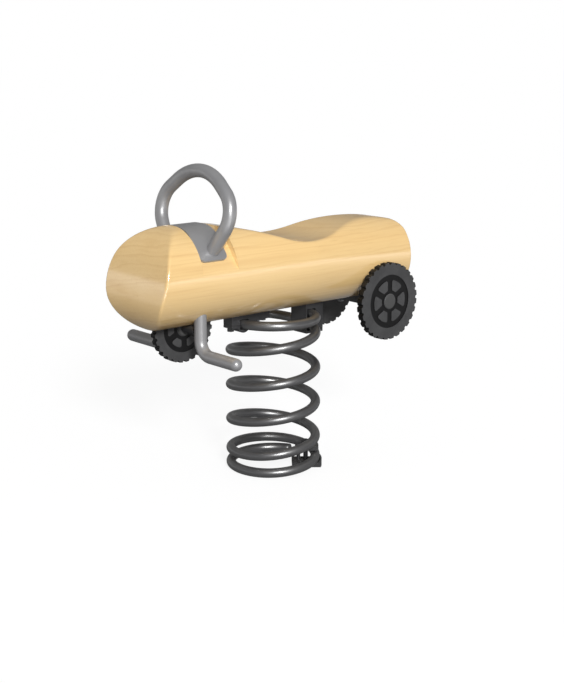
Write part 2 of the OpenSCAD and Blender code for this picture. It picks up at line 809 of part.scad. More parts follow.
module front_bush() {
    color(nylon) along_y(rest_x, -front_half, front_z)
        ring_disc(bush_d / 2 - tight_fit, axle_r + running_fit, wheel_t);
}

module hub_cap() {
    cap_r = recess_r - tight_fit;
    cap_h = rear_out + cap_proud - cap_y;
    along_y(-rear_x, cap_y, rear_z) {
        cylinder(r = cap_r, h = cap_h - cap_proud);
        translate([0, 0, cap_h - cap_proud]) cylinder(r1 = cap_r, r2 = cap_r - cap_proud, h = cap_proud);
    }
}

module hub_cap_left() {
    color(wheel_grey) hub_cap();
}

module hub_cap_right() {
    color(wheel_grey) mirror([0, 1, 0]) hub_cap();
}

// Rear axle
module rear_axle_beam() {
    color(dark_grey) difference() {
        translate([-rear_x - beam_w / 2, -beam_half, rear_z - beam_down]) cube([beam_w, beam_l, beam_up + beam_down]);
        along_y(-rear_x, -beam_half - over, rear_z) cylinder(r = axle_r + tight_fit, h = beam_l + 2 * over);
        beam_screw_places() translate([0, 0, -over])
            cylinder(d = screw_d + 2 * tight_fit, h = beam_up + beam_down + 2 * over);
    }
}

module beam_screws() {
    color(zinc) beam_screw_places() bolt_up(screw_d, beam_up + beam_down + beam_screw_deep);
}

module rear_axle() {
    half = nut_y + axle_nut_h;
    color(zinc) along_y(-rear_x, -half, rear_z) cylinder(r = axle_r, h = 2 * half);
}

module rear_axle_sleeves() {
    color(dark_grey) both_sides() along_y(-rear_x, beam_half, rear_z)
        ring_disc(sleeve_d / 2, axle_r + tight_fit, rear_face - seat_fit - beam_half);
}

module rear_axle_nuts() {
    color(zinc) both_sides() along_y(-rear_x, nut_y, rear_z) difference() {
        hexagon(axle_nut_af, axle_nut_h);
        translate([0, 0, -over]) cylinder(r = axle_r + tight_fit, h = axle_nut_h + 2 * over);
    }
}

// Front axle
module front_axle() {
    half = rest_y + axle_past;
    color(zinc) along_y(rest_x, -half, front_z) cylinder(r = axle_r, h = 2 * half);
}

module front_axle_sleeves() {
    color(dark_grey) both_sides() along_y(rest_x, sleeve_y, front_z)
        ring_disc(bush_d / 2, axle_r + tight_fit, rest_y - rest_d / 2 - seat_fit - sleeve_y);
}

module front_hub_discs() {
    color(wheel_grey) both_sides() along_y(rest_x, disc_y, front_z) ring_disc(disc_r, axle_r + tight_fit, disc_t);
}

// Top clamps
module clamp_bolt_bore(h) {
    cylinder(d = clamp_bolt_d + 2 * tight_fit, h = h);
}

module coil_slot(low_z, high_z) {
    translate([0, 0, low_z]) ring_disc(slot_out_r, slot_in_r, high_z - low_z);
}

module front_clamp_seat() {
    color(dark_grey) difference() {
        union() {
            translate([front_jaw_in, -front_clamp_w / 2, wire_top_z])
                cube([front_clamp_out - front_jaw_in, front_clamp_w, seat_top_z - wire_top_z]);
            translate([tongue_in, -front_clamp_w / 2, seat_top_z - tongue_t])
                cube([front_jaw_in - tongue_in + over, front_clamp_w, tongue_t]);
        }
        coil_slot(wire_top_z - over, slot_top_z);
        front_bolt_places(wire_top_z - over) clamp_bolt_bore(seat_top_z - wire_top_z + 2 * over);
        tongue_screw_places() translate([0, 0, -over])
            cylinder(d = screw_d + 2 * tight_fit, h = tongue_t + 2 * over);
    }
}

module front_clamp_jaw() {
    color(dark_grey) difference() {
        union() {
            translate([front_jaw_in, -front_clamp_w / 2, front_jaw_z])
                cube([front_clamp_out - front_jaw_in, front_clamp_w, jaw_t]);
            intersection() {
                along_y(coil_r, -front_clamp_w / 2, wire_top_z) cylinder(r = lobe_r, h = front_clamp_w);
                translate([0, -front_clamp_w, front_jaw_z - lobe_r])
                    cube([coil_od, 2 * front_clamp_w, lobe_r + jaw_t]);
            }
        }
        coil_slot(wire_top_z - wire_r - seat_fit, wire_top_z + over);
        front_bolt_places(front_jaw_z - over) clamp_bolt_bore(jaw_t + 2 * over);
    }
}

module rear_clamp_block(z, h) {
    translate([-rear_clamp_out, -rear_clamp_w / 2, z]) cube([rear_clamp_out - rear_clamp_in, rear_clamp_w, h]);
}

module rear_clamp_seat() {
    color(dark_grey) difference() {
        rear_clamp_block(rear_split_z, seat_top_z - rear_split_z);
        coil_slot(rear_split_z - over, slot_top_z);
        rear_bolt_places(rear_split_z - over) clamp_bolt_bore(seat_top_z - rear_split_z + 2 * over);
    }
}

module rear_clamp_jaw() {
    color(dark_grey) difference() {
        rear_clamp_block(rear_jaw_z, jaw_t);
        rear_bolt_places(rear_jaw_z - over) clamp_bolt_bore(jaw_t + 2 * over);
    }
}

module clamp_bolt(jaw_z) {
    bolt_up(clamp_bolt_d, seat_top_z + clamp_bolt_deep - jaw_z + washer_t);
}

module clamp_bolts() {
    color(zinc) {
        front_bolt_places(front_jaw_z - washer_t) clamp_bolt(front_jaw_z);
        rear_bolt_places(rear_jaw_z - washer_t) clamp_bolt(rear_jaw_z);
    }
}

module clamp_washers() {
    color(zinc) {
        front_bolt_places(front_jaw_z - washer_t) clamp_washer();
        rear_bolt_places(rear_jaw_z - washer_t) clamp_washer();
    }
}

module clamp_washer() {
    ring_disc(washer_d / 2, clamp_bolt_d / 2 + tight_fit, washer_t);
}

module seat_screws() {
    color(zinc) tongue_screw_places() bolt_up(screw_d, tongue_t + tongue_screw_deep);
}

// Spring
wire_rings = [for (i = [0 : ring_count]) wire_ring(turns * i / ring_count)];
wire_points = [for (i = [0 : ring_count]) wire_point(turns * i / ring_count)];
half_turn = round(rings_per_turn / 2);
least_gap = min([for (i = [0 : ring_count]) for (j = [i + half_turn : 1 : ring_count])
    norm(wire_points[i] - wire_points[j])]) - wire_d;
echo(spring_least_gap = least_gap);

module wire_tube() {
    last = ring_count * wire_sides;
    polyhedron(
        points = [for (ring = wire_rings) each ring],
        faces = concat(
            [for (k = [1 : wire_sides - 2]) [0, k, k + 1]],
            [for (k = [1 : wire_sides - 2]) [last, last + k + 1, last + k]],
            [for (i = [0 : ring_count - 1], k = [0 : wire_sides - 1])
                let (a = i * wire_sides + k, b = i * wire_sides + (k + 1) % wire_sides)
                each [[a, a + wire_sides, b], [b, a + wire_sides, b + wire_sides]]]
        )
    );
}

module spring() {
    color(dark_grey) difference() {
        wire_tube();
        translate([-coil_od, -coil_od, -wire_d]) cube([2 * coil_od, 2 * coil_od, wire_d]);
    }
}

// Ground anchor, made along +X and turned into place
module anchor_bar(r0, r1, w, z, h) {
    intersection() {
        translate([r0, -w / 2, z]) cube([r1 - r0 + over, w, h]);
        translate([0, 0, z]) cylinder(r = r1, h = h, $fn = 128);
    }
}

module anchor_foot() {
    color(dark_grey) rotate([0, 0, anchor_a]) {
        difference() {
            anchor_bar(foot_in, foot_out, foot_w, 0, lip_h);
            translate([0, 0, foot_t]) cylinder(r = slot_out_r, h = lip_h);
            translate([anchor_stud_r, 0, stud_seat_z]) cylinder(d = anchor_stud_d + 2 * tight_fit, h = lip_h);
            for (s = [-1, 1])
                translate([anchor_hole_r, s * anchor_hole_gap / 2, -over]) cylinder(d = anchor_hole_d, h = lip_h);
        }
        translate([heel_r, 0, stud_seat_z]) cylinder(d = heel_d, h = claw_z - seat_fit - stud_seat_z);
    }
}

module anchor_claw() {
    color(dark_grey) rotate([0, 0, anchor_a]) difference() {
        anchor_bar(claw_in, claw_out, claw_w, claw_z, claw_t);
        translate([anchor_stud_r, 0, claw_z - over]) cylinder(d = anchor_stud_d + 2 * tight_fit, h = claw_t + 2 * over);
    }
}

module anchor_stud() {
    color(zinc) rotate([0, 0, anchor_a]) translate([anchor_stud_r, 0, stud_seat_z])
        cylinder(d = anchor_stud_d, h = anchor_top_z + anchor_stud_past - stud_seat_z);
}

module anchor_washer() {
    color(zinc) rotate([0, 0, anchor_a]) translate([anchor_stud_r, 0, claw_z + claw_t])
        ring_disc(anchor_nut_af / 2 + washer_t, anchor_stud_d / 2 + tight_fit, washer_t);
}

module anchor_nut() {
    color(zinc) rotate([0, 0, anchor_a]) translate([anchor_stud_r, 0, claw_z + claw_t + washer_t]) difference() {
        hexagon(anchor_nut_af, anchor_nut_h);
        translate([0, 0, -over]) cylinder(d = anchor_stud_d + 2 * tight_fit, h = anchor_nut_h + 2 * over);
    }
}

log_body();
saddle_plate();
handle_loop();
handle_studs();
footrest_left();
footrest_right();
front_axle();
front_axle_sleeves();
front_hub_discs();
front_wheel();
front_bush();
rear_axle_beam();
beam_screws();
rear_axle();
rear_axle_sleeves();
rear_axle_nuts();
rear_wheel_left();
rear_wheel_right();
rear_bush_left();
rear_bush_right();
hub_cap_left();
hub_cap_right();
front_clamp_seat();
front_clamp_jaw();
rear_clamp_seat();
rear_clamp_jaw();
clamp_bolts();
clamp_washers();
seat_screws();
spring();
anchor_foot();
anchor_claw();
anchor_stud();
anchor_washer();
anchor_nut();
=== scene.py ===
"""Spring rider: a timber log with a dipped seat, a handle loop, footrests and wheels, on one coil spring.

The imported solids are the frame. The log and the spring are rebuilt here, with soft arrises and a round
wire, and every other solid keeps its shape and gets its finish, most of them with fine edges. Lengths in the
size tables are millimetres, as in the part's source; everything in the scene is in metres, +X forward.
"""

import math

import bmesh
import bpy
import numpy as np
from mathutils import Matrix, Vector


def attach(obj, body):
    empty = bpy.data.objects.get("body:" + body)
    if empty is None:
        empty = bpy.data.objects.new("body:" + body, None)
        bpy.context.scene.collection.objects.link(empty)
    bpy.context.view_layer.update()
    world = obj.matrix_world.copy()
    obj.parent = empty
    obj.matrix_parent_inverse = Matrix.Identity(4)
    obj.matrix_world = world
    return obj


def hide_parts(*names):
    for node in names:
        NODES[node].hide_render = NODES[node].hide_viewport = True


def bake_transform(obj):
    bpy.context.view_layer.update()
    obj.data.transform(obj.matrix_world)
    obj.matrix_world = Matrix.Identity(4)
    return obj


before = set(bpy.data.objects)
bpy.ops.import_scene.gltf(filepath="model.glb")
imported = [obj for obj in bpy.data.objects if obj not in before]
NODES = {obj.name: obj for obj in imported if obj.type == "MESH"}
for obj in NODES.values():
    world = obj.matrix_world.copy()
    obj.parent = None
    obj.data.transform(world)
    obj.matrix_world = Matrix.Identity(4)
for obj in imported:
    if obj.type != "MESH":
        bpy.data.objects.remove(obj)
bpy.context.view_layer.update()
MM = 0.001
QUARTER = math.pi / 2

# Log
LOG_R = 100.0
TAIL_R = 87.5
NOSE_X = 351.0
TAIL_X = 324.0
TAPER_X = 40.0
NOSE_R = 75.0
NOSE_H = 62.0
NOSE_RAKE = math.radians(15.5)
NOSE_CROWN = math.radians(5)
NOSE_FACE_R = 360.0
TAIL_TOP_R = 27.0
SEAT_X = 36.0
SEAT_H = 149.0
SEAT_R = 280.0
SEAT_FRONT_R = 200.0
SEAT_RISE = math.radians(19)
ROLL_R = 750.0
CREST_X = 222.0
CREST_H = 176.0
BACK_R = 374.0
BELLY_Z = 340.3
OVER = 2.0
ARRIS = 5.0

# Seat of the saddle plate in the log
PLATE_BACK_X = 187.5
PLATE_SEAT = (170.5, 256.5)
PLATE_SINK = 7.2
PLATE_SLOPE = math.radians(52)
PLATE_BEND_R = 58.0
FLAT_D = 87.5
SEAT_FIT = 0.3

# Slot of the front wheel, pockets and bores in the log's belly
WHEEL_X = 237.0
WHEEL_Z = 335.3
SLOT_R = 77.0
SLOT_HALF = 12.5
GROOVE_R = 11.0
STEM_Y = 61.0
POCKETS = (
    # back, front, half width, top
    (-257.3, -216.7, 110.0, 356.6),
    (20.7, 120.8, 15.3, 344.3),
    (-119.3, -71.7, 25.3, 344.3),
)
STEM_BORE = (12.53, 415.6)
BOLT_BORE = (4.03, 394.6)
SCREW_BORE = (4.03, 384.6)
BEAM_BORE = (4.03, 406.6)
BORES = (
    # along, across, then radius and top
    *((WHEEL_X, y, STEM_BORE) for y in (-STEM_Y, STEM_Y)),
    *((x, 0.0, BOLT_BORE) for x in (63.0, 113.5)),
    *((-110.5, y, BOLT_BORE) for y in (-13.0, 13.0)),
    *((x, 0.0, SCREW_BORE) for x in (29.0, 45.0)),
    *((x, y, BEAM_BORE) for x in (-249.5, -224.5) for y in (-32.0, 32.0)),
)

# Spring
COIL_R = 90.0
WIRE_R = 10.0
WIRE_LOW = 9.5
WIRE_TOP = 322.0
WIRE_START = math.radians(205)
TURNS = 5.92
CLIMB_FROM = 0.57
CLIMB_TO = 1.02
FREE_FROM = 1.52
FREE_TO = TURNS - 0.70
CLIMB_RISE = 23.4
SETTLE_PITCH = 24.0
BEND_TURNS = 0.08

# Wheels
REAR_FACE = 93.13
REAR_OUT = 108.13
FRONT_HALF = 7.5
SKIN = 0.5


def linear(r, g, b):
    """A screen colour, 0 to 255, as the linear colour that shaders take."""
    def channel(c):
        c /= 255.0
        return c / 12.92 if c <= 0.04045 else ((c + 0.055) / 1.055) ** 2.4
    return (channel(r), channel(g), channel(b), 1.0)


def darker(colour, share):
    return tuple(c * share for c in colour[:3]) + (1.0,)


# Node building
def plug(tree, socket, value):
    """Sets a socket's value, or links it where the value is another node's output."""
    if isinstance(value, bpy.types.NodeSocket):
        tree.links.new(value, socket)
    else:
        socket.default_value = value


def make(tree, kind, settings=None, **sockets):
    made = tree.nodes.new(kind)
    for name, value in (settings or {}).items():
        setattr(made, name, value)
    for name, value in sockets.items():
        plug(tree, made.inputs[name.replace("_", " ")], value)
    return made


def calc(tree, operation, *values):
    """A Math node's output."""
    made = make(tree, "ShaderNodeMath", {"operation": operation})
    for socket, value in zip(made.inputs, values):
        plug(tree, socket, value)
    return made.outputs[0]


def scaled(tree, vector, factors):
    made = make(tree, "ShaderNodeVectorMath", {"operation": "MULTIPLY"})
    plug(tree, made.inputs[0], vector)
    made.inputs[1].default_value = factors
    return made.outputs[0]


def dotted(tree, vector, way):
    made = make(tree, "ShaderNodeVectorMath", {"operation": "DOT_PRODUCT"})
    plug(tree, made.inputs[0], vector)
    plug(tree, made.inputs[1], way)
    return made.outputs["Value"]


def noise(tree, vector, scale, detail=3.0, roughness=0.5):
    made = make(tree, "ShaderNodeTexNoise", Vector=vector, Scale=scale, Detail=detail, Roughness=roughness)
    return made.outputs["Fac"]


def ranged(tree, value, low, high, to_low=0.0, to_high=1.0):
    made = make(tree, "ShaderNodeMapRange", {"interpolation_type": "SMOOTHSTEP"}, Value=value,
                From_Min=low, From_Max=high, To_Min=to_low, To_Max=to_high)
    return made.outputs[0]


def blended(tree, share, a, b):
    made = make(tree, "ShaderNodeMix", {"data_type": "RGBA"}, Factor=share)
    first, second = [socket for socket in made.inputs if socket.type == "RGBA"]
    plug(tree, first, a)
    plug(tree, second, b)
    return next(socket for socket in made.outputs if socket.type == "RGBA")


def object_place(tree):
    return tree.nodes.new("ShaderNodeTexCoord").outputs["Object"]


def new_group(name, inputs, outputs):
    """A node group with float inputs {name: start value} and float outputs."""
    tree = bpy.data.node_groups.new(name, "ShaderNodeTree")
    for label, value in inputs.items():
        socket = tree.interface.new_socket(name=label, in_out="INPUT", socket_type="NodeSocketFloat")
        socket.default_value = value
    for label in outputs:
        tree.interface.new_socket(name=label, in_out="OUTPUT", socket_type="NodeSocketFloat")
    return tree, tree.nodes.new("NodeGroupInput"), tree.nodes.new("NodeGroupOutput")


def placed(tree, group, **values):
    return make(tree, "ShaderNodeGroup", {"node_tree": group}, **values).outputs


def peel_group():
    """The fine orange peel of a sprayed or moulded skin: a height and a soft mottle."""
    tree, given, out = new_group("skin_peel", {"Scale": 600.0}, ("Height", "Mottle"))
    place = object_place(tree)
    tree.links.new(noise(tree, place, given.outputs["Scale"], 2.0, 0.4), out.inputs["Height"])
    tree.links.new(noise(tree, place, 24.0, 4.0, 0.6), out.inputs["Mottle"])
    return tree


def edge_wear_and_highlight_group():
    """Rubbed edges, lightened partly as a painted highlight: a mask where the surface turns sharply, broken
    up by noise.
    """
    tree, given, out = new_group("rubbed_edges_and_highlight", {"Radius": 0.0015, "Amount": 0.5}, ("Mask",))
    rounded = make(tree, "ShaderNodeBevel", {"samples": 4}, Radius=given.outputs["Radius"]).outputs[0]
    true = tree.nodes.new("ShaderNodeNewGeometry").outputs["Normal"]
    edge = ranged(tree, dotted(tree, rounded, true), 0.985, 0.80)
    patchy = ranged(tree, noise(tree, object_place(tree), 60.0, 5.0, 0.65), 0.35, 0.65)
    # The edge mask stands partly for wear and partly for a painted highlight where edges catch the light.
    worn_and_lit = calc(tree, "MULTIPLY", edge, patchy)
    tree.links.new(calc(tree, "MULTIPLY", worn_and_lit, given.outputs["Amount"]), out.inputs["Mask"])
    return tree


def dust_group():
    """Dust that settles on what faces up."""
    tree, given, out = new_group("settled_dust", {"Amount": 0.1}, ("Mask",))
    normal = tree.nodes.new("ShaderNodeNewGeometry").outputs["Normal"]
    up = make(tree, "ShaderNodeSeparateXYZ", Vector=normal).outputs["Z"]
    facing = ranged(tree, up, 0.2, 0.95)
    patchy = ranged(tree, noise(tree, object_place(tree), 18.0, 6.0, 0.7), 0.3, 0.75)
    lying = calc(tree, "MULTIPLY", facing, patchy)
    tree.links.new(calc(tree, "MULTIPLY", lying, given.outputs["Amount"]), out.inputs["Mask"])
    return tree


PEEL = peel_group()
EDGE_WEAR_AND_HIGHLIGHT = edge_wear_and_highlight_group()
DUST = dust_group()
DUST_COLOUR = linear(188, 182, 172)


# Finishes
def new_material(name):
    material = bpy.data.materials.new(name)
    material.use_nodes = True
    tree = material.node_tree
    return material, tree, tree.nodes["Principled BSDF"]


def bumped(tree, shader, height, strength, distance):
    bump = make(tree, "ShaderNodeBump", Height=height, Strength=strength, Distance=distance)
    tree.links.new(bump.outputs[0], shader.inputs["Normal"])


COAT_PEEL = 650.0
COAT_IOR = 1.9


def coated_metal(name, colour, worn_and_lit, roughness, gloss, edge_amount):
    """Powder-coated steel: faint mottle, orange peel, rubbed edges partly painted as a highlight, and a
    little dust.
    """
    material, tree, shader = new_material(name)
    peel = placed(tree, PEEL, Scale=COAT_PEEL)
    tone = ranged(tree, peel["Mottle"], 0.3, 0.7, 0.0, 0.9)
    base = blended(tree, tone, colour, darker(colour, 0.86))
    if edge_amount:
        # Edges turn to the lighter colour, partly as wear and partly as a painted highlight.
        base = blended(tree, placed(tree, EDGE_WEAR_AND_HIGHLIGHT, Radius=0.0016, Amount=edge_amount)["Mask"], base, worn_and_lit)
    base = blended(tree, placed(tree, DUST, Amount=0.08)["Mask"], base, DUST_COLOUR)
    tree.links.new(base, shader.inputs["Base Color"])
    rough = ranged(tree, peel["Mottle"], 0.25, 0.75, roughness - 0.03, roughness + 0.05)
    tree.links.new(rough, shader.inputs["Roughness"])
    shader.inputs["Specular IOR Level"].default_value = gloss
    shader.inputs["IOR"].default_value = COAT_IOR
    bumped(tree, shader, peel["Height"], 0.06, 0.0002)
    return material


# Timber: the tree's heart in y and z, the pitch of its growth layers and how far they wander, in metres;
# marks per metre along x, y and z; how strongly each mark shows; and the varnish
HEART = (0.15, -0.60)
LAYER_PITCH = 0.0082
WANDER = 0.055
WANDER_SCALE = (1.8, 3.0, 14.0)
FIBRE_SCALE = (7.0, 330.0, 330.0)
STREAK_SCALE = (2.2, 14.0, 60.0)
BROAD_SCALE = (1.6, 7.0, 7.0)
LATE_SHARE = 0.22
STREAK_SHARE = 0.26
FIBRE_SHARE = 0.20
VARNISH_ROUGHNESS = 0.12
VARNISH_IOR = 2.3
WOOD_LIGHT = linear(251, 215, 152)
WOOD_MID = linear(246, 207, 141)
WOOD_LATE = linear(217, 166, 98)
WOOD_DARK = linear(192, 142, 82)


def turned_wood():
    """Pale, straight-grained timber: level growth layers, fibres along the log, a clear satin varnish."""
    material, tree, shader = new_material("turned_wood")
    place = object_place(tree)
    parts = make(tree, "ShaderNodeSeparateXYZ", Vector=place).outputs
    across = calc(tree, "POWER", calc(tree, "SUBTRACT", parts["Y"], HEART[0]), 2.0)
    up = calc(tree, "POWER", calc(tree, "SUBTRACT", parts["Z"], HEART[1]), 2.0)
    reach = calc(tree, "SQRT", calc(tree, "ADD", across, up))
    wander = noise(tree, scaled(tree, place, WANDER_SCALE), 1.0, 4.0, 0.6)
    sway = calc(tree, "MULTIPLY", calc(tree, "SUBTRACT", wander, 0.5), WANDER)
    layer = calc(tree, "DIVIDE", calc(tree, "ADD", reach, sway), LAYER_PITCH)
    year = calc(tree, "FRACT", layer)
    lean = make(tree, "ShaderNodeTexWhiteNoise", {"noise_dimensions": "1D"}, W=calc(tree, "FLOOR", layer))
    ring = calc(tree, "MULTIPLY", ranged(tree, year, 0.30, 0.86), ranged(tree, year, 1.0, 0.90))
    late = calc(tree, "MULTIPLY", ring, ranged(tree, lean.outputs["Value"], 0.1, 0.9, 0.15, 1.0))
    fibre = noise(tree, scaled(tree, place, FIBRE_SCALE), 1.0, 5.0, 0.62)
    streak = noise(tree, scaled(tree, place, STREAK_SCALE), 1.0, 3.0, 0.5)
    broad = noise(tree, scaled(tree, place, BROAD_SCALE), 1.0, 2.0, 0.5)
    base = blended(tree, ranged(tree, broad, 0.3, 0.7), WOOD_LIGHT, WOOD_MID)
    base = blended(tree, calc(tree, "MULTIPLY", late, LATE_SHARE), base, WOOD_LATE)
    base = blended(tree, ranged(tree, streak, 0.50, 0.78, 0.0, STREAK_SHARE), base, WOOD_LATE)
    base = blended(tree, ranged(tree, fibre, 0.50, 0.80, 0.0, FIBRE_SHARE), base, WOOD_DARK)
    base = blended(tree, placed(tree, DUST, Amount=0.03)["Mask"], base, DUST_COLOUR)
    tree.links.new(base, shader.inputs["Base Color"])
    tree.links.new(ranged(tree, fibre, 0.3, 0.8, 0.46, 0.60), shader.inputs["Roughness"])
    shader.inputs["Specular IOR Level"].default_value = 0.2
    shader.inputs["Coat Weight"].default_value = 1.0
    shader.inputs["Coat Roughness"].default_value = VARNISH_ROUGHNESS
    shader.inputs["Coat IOR"].default_value = VARNISH_IOR
    height = calc(tree, "ADD", calc(tree, "MULTIPLY", fibre, 0.7), calc(tree, "MULTIPLY", late, -0.5))
    bumped(tree, shader, height, 0.14, 0.0003)
    return material


BOARD_GREY = linear(74, 74, 75)
BOARD_GREY_LOW = linear(64, 64, 65)
BOARD_BLACK = linear(16, 16, 17)


def wheel_board(name, inner, outer):
    """Two-colour board: a grey grained skin on both faces of the wheel, and a black core where it is cut."""
    material, tree, shader = new_material(name)
    side = make(tree, "ShaderNodeSeparateXYZ", Vector=object_place(tree)).outputs["Y"]
    across = calc(tree, "ABSOLUTE", side)
    skin = calc(tree, "GREATER_THAN", across, (outer - SKIN) * MM)
    if inner is not None:
        skin = calc(tree, "MAXIMUM", skin, calc(tree, "LESS_THAN", across, (inner + SKIN) * MM))
    peel = placed(tree, PEEL, Scale=420.0)
    grey = blended(tree, ranged(tree, peel["Mottle"], 0.3, 0.7), BOARD_GREY, BOARD_GREY_LOW)
    grey = blended(tree, placed(tree, DUST, Amount=0.06)["Mask"], grey, DUST_COLOUR)
    # Edges of the black core turn grey, partly as wear and partly as a painted highlight.
    rubbed_and_lit = placed(tree, EDGE_WEAR_AND_HIGHLIGHT, Radius=0.0012, Amount=0.35)["Mask"]
    core = blended(tree, rubbed_and_lit, BOARD_BLACK, BOARD_GREY_LOW)
    tree.links.new(blended(tree, skin, core, grey), shader.inputs["Base Color"])
    rough = ranged(tree, peel["Mottle"], 0.3, 0.7, 0.46, 0.54)
    tree.links.new(calc(tree, "ADD", calc(tree, "MULTIPLY", skin, 0.08), rough), shader.inputs["Roughness"])
    shader.inputs["Specular IOR Level"].default_value = 0.3
    bumped(tree, shader, peel["Height"], 0.22, 0.0003)
    return material


def moulded_plastic(name, colour, roughness):
    material, tree, shader = new_material(name)
    peel = placed(tree, PEEL, Scale=500.0)
    base = blended(tree, ranged(tree, peel["Mottle"], 0.3, 0.7), colour, darker(colour, 0.86))
    base = blended(tree, placed(tree, DUST, Amount=0.06)["Mask"], base, DUST_COLOUR)
    tree.links.new(base, shader.inputs["Base Color"])
    rough = ranged(tree, peel["Mottle"], 0.3, 0.7, roughness - 0.03, roughness + 0.05)
    tree.links.new(rough, shader.inputs["Roughness"])
    shader.inputs["Specular IOR Level"].default_value = 0.35
    bumped(tree, shader, peel["Height"], 0.15, 0.0002)
    return material


ZINC_BRIGHT = linear(172, 174, 178)
ZINC_DULL = linear(142, 144, 148)
ZINC_RUBBED_AND_LIT = linear(205, 206, 208)


def zinc_plate():
    """Zinc-plated fasteners: dull bright metal with a faint cloud, and rubbed corners partly painted as a
    highlight.
    """
    material, tree, shader = new_material("zinc_plate")
    peel = placed(tree, PEEL, Scale=900.0)
    base = blended(tree, ranged(tree, peel["Mottle"], 0.3, 0.7), ZINC_BRIGHT, ZINC_DULL)
    # Corners turn to the lighter zinc colour, partly as wear and partly as a painted highlight.
    rubbed_and_lit = placed(tree, EDGE_WEAR_AND_HIGHLIGHT, Radius=0.0008, Amount=0.6)["Mask"]
    tree.links.new(blended(tree, rubbed_and_lit, base, ZINC_RUBBED_AND_LIT), shader.inputs["Base Color"])
    shader.inputs["Metallic"].default_value = 1.0
    tree.links.new(ranged(tree, peel["Mottle"], 0.3, 0.7, 0.30, 0.46), shader.inputs["Roughness"])
    bumped(tree, shader, peel["Height"], 0.08, 0.0001)
    return material


# Mesh building
def new_piece(name, points, faces):
    mesh = bpy.data.meshes.new(name)
    mesh.from_pydata([tuple(p) for p in points], [], faces)
    mesh.update()
    piece = bpy.data.objects.new(name, mesh)
    bpy.context.scene.collection.objects.link(piece)
    return piece


def face_outwards(piece):
    work = bmesh.new()
    work.from_mesh(piece.data)
    bmesh.ops.recalc_face_normals(work, faces=work.faces)
    work.to_mesh(piece.data)
    work.free()


def shade(piece, angle):
    piece.data.polygons.foreach_set("use_smooth", [True] * len(piece.data.polygons))
    piece.data.set_sharp_from_angle(angle=math.radians(angle))


def box_shape(low, high):
    points = [(x, y, z) for x in (low[0], high[0]) for y in (low[1], high[1]) for z in (low[2], high[2])]
    faces = [(0, 1, 3, 2), (4, 6, 7, 5), (0, 4, 5, 1), (2, 3, 7, 6), (0, 2, 6, 4), (1, 5, 7, 3)]
    return np.array(points) * MM, faces


def drum_shape(centre, radius, low, high, along, count=96):
    """A cylinder along Y or Z: centre gives its two other coordinates."""
    angles = np.linspace(0, 2 * math.pi, count, endpoint=False)
    points = []
    for level in (low, high):
        for a in angles:
            u, v = centre[0] + radius * math.cos(a), centre[1] + radius * math.sin(a)
            points.append((u, level, v) if along == "Y" else (u, v, level))
    faces = [tuple(range(count)), tuple(range(2 * count - 1, count - 1, -1))]
    faces += [(k, (k + 1) % count, count + (k + 1) % count, count + k) for k in range(count)]
    return np.array(points) * MM, faces


def joined(shapes):
    """Several separate shapes as one."""
    points, faces = [], []
    for shape_points, shape_faces in shapes:
        faces += [tuple(i + len(points) for i in face) for face in shape_faces]
        points += list(shape_points)
    return points, faces


def cut_away(piece, cutters):
    for shape in cutters:
        tool = new_piece("cutter", *shape)
        face_outwards(tool)
        cut = piece.modifiers.new("cut", "BOOLEAN")
        cut.object, cut.operation, cut.solver = tool, "DIFFERENCE", "EXACT"
        bpy.context.view_layer.update()
        done = bpy.data.meshes.new_from_object(piece.evaluated_get(bpy.context.evaluated_depsgraph_get()))
        piece.modifiers.clear()
        piece.data = done
        bpy.data.objects.remove(tool)


# Log
def arc(centre, radius, start, stop, step=3.0):
    count = max(2, math.ceil(abs(stop - start) * radius / step))
    angles = np.linspace(start, stop, count + 1)
    return [(centre[0] + radius * math.cos(a), centre[1] + radius * math.sin(a)) for a in angles]


def nose_line(top):
    """The chin, the tip of the nose, its raked and faintly crowned front, and the round-over above it."""
    nose = np.array((NOSE_X - NOSE_R, NOSE_H))
    low, high = NOSE_RAKE - NOSE_CROWN, NOSE_RAKE + NOSE_CROWN
    way_low = np.array((math.cos(low), math.sin(low)))
    way_high = np.array((math.cos(high), math.sin(high)))
    face = nose + (NOSE_R - NOSE_FACE_R) * way_low
    face_end = face + NOSE_FACE_R * way_high
    brow_r = (top - face_end[1]) / (1 - way_high[1])
    line = arc(nose, NOSE_R, -math.asin((NOSE_H + OVER) / NOSE_R), low)
    line += arc(face, NOSE_FACE_R, low, high)[1:]
    return line + arc(face_end - brow_r * way_high, brow_r, high, QUARTER)[1:]


def seat_line(top):
    """The roll down from the bonnet, the dip of the seat and the rise to the crest behind it."""
    front = (-SEAT_X, SEAT_H + SEAT_FRONT_R)
    way = np.array([math.sin(SEAT_RISE), -math.cos(SEAT_RISE)])
    roll = np.array(front) + (SEAT_FRONT_R + ROLL_R) * way
    roll_turn = math.asin((roll[0] - PLATE_BACK_X) / ROLL_R)
    end_h = roll[1] + ROLL_R * math.cos(roll_turn)
    line = [(PLATE_BACK_X + top - end_h, top)]
    line += arc(roll, ROLL_R, QUARTER + roll_turn, QUARTER + SEAT_RISE)
    line += arc(front, SEAT_FRONT_R, SEAT_RISE - QUARTER, -QUARTER)[1:]
    turn = 2 * math.atan((CREST_H - SEAT_H) / (CREST_X - SEAT_X))
    crest_r = (CREST_X - SEAT_X) / math.sin(turn) - SEAT_R
    line += arc((-SEAT_X, SEAT_H + SEAT_R), SEAT_R, -QUARTER, -QUARTER - turn)[1:]
    return line + arc((-CREST_X, CREST_H - crest_r), crest_r, QUARTER - turn, QUARTER)[1:]


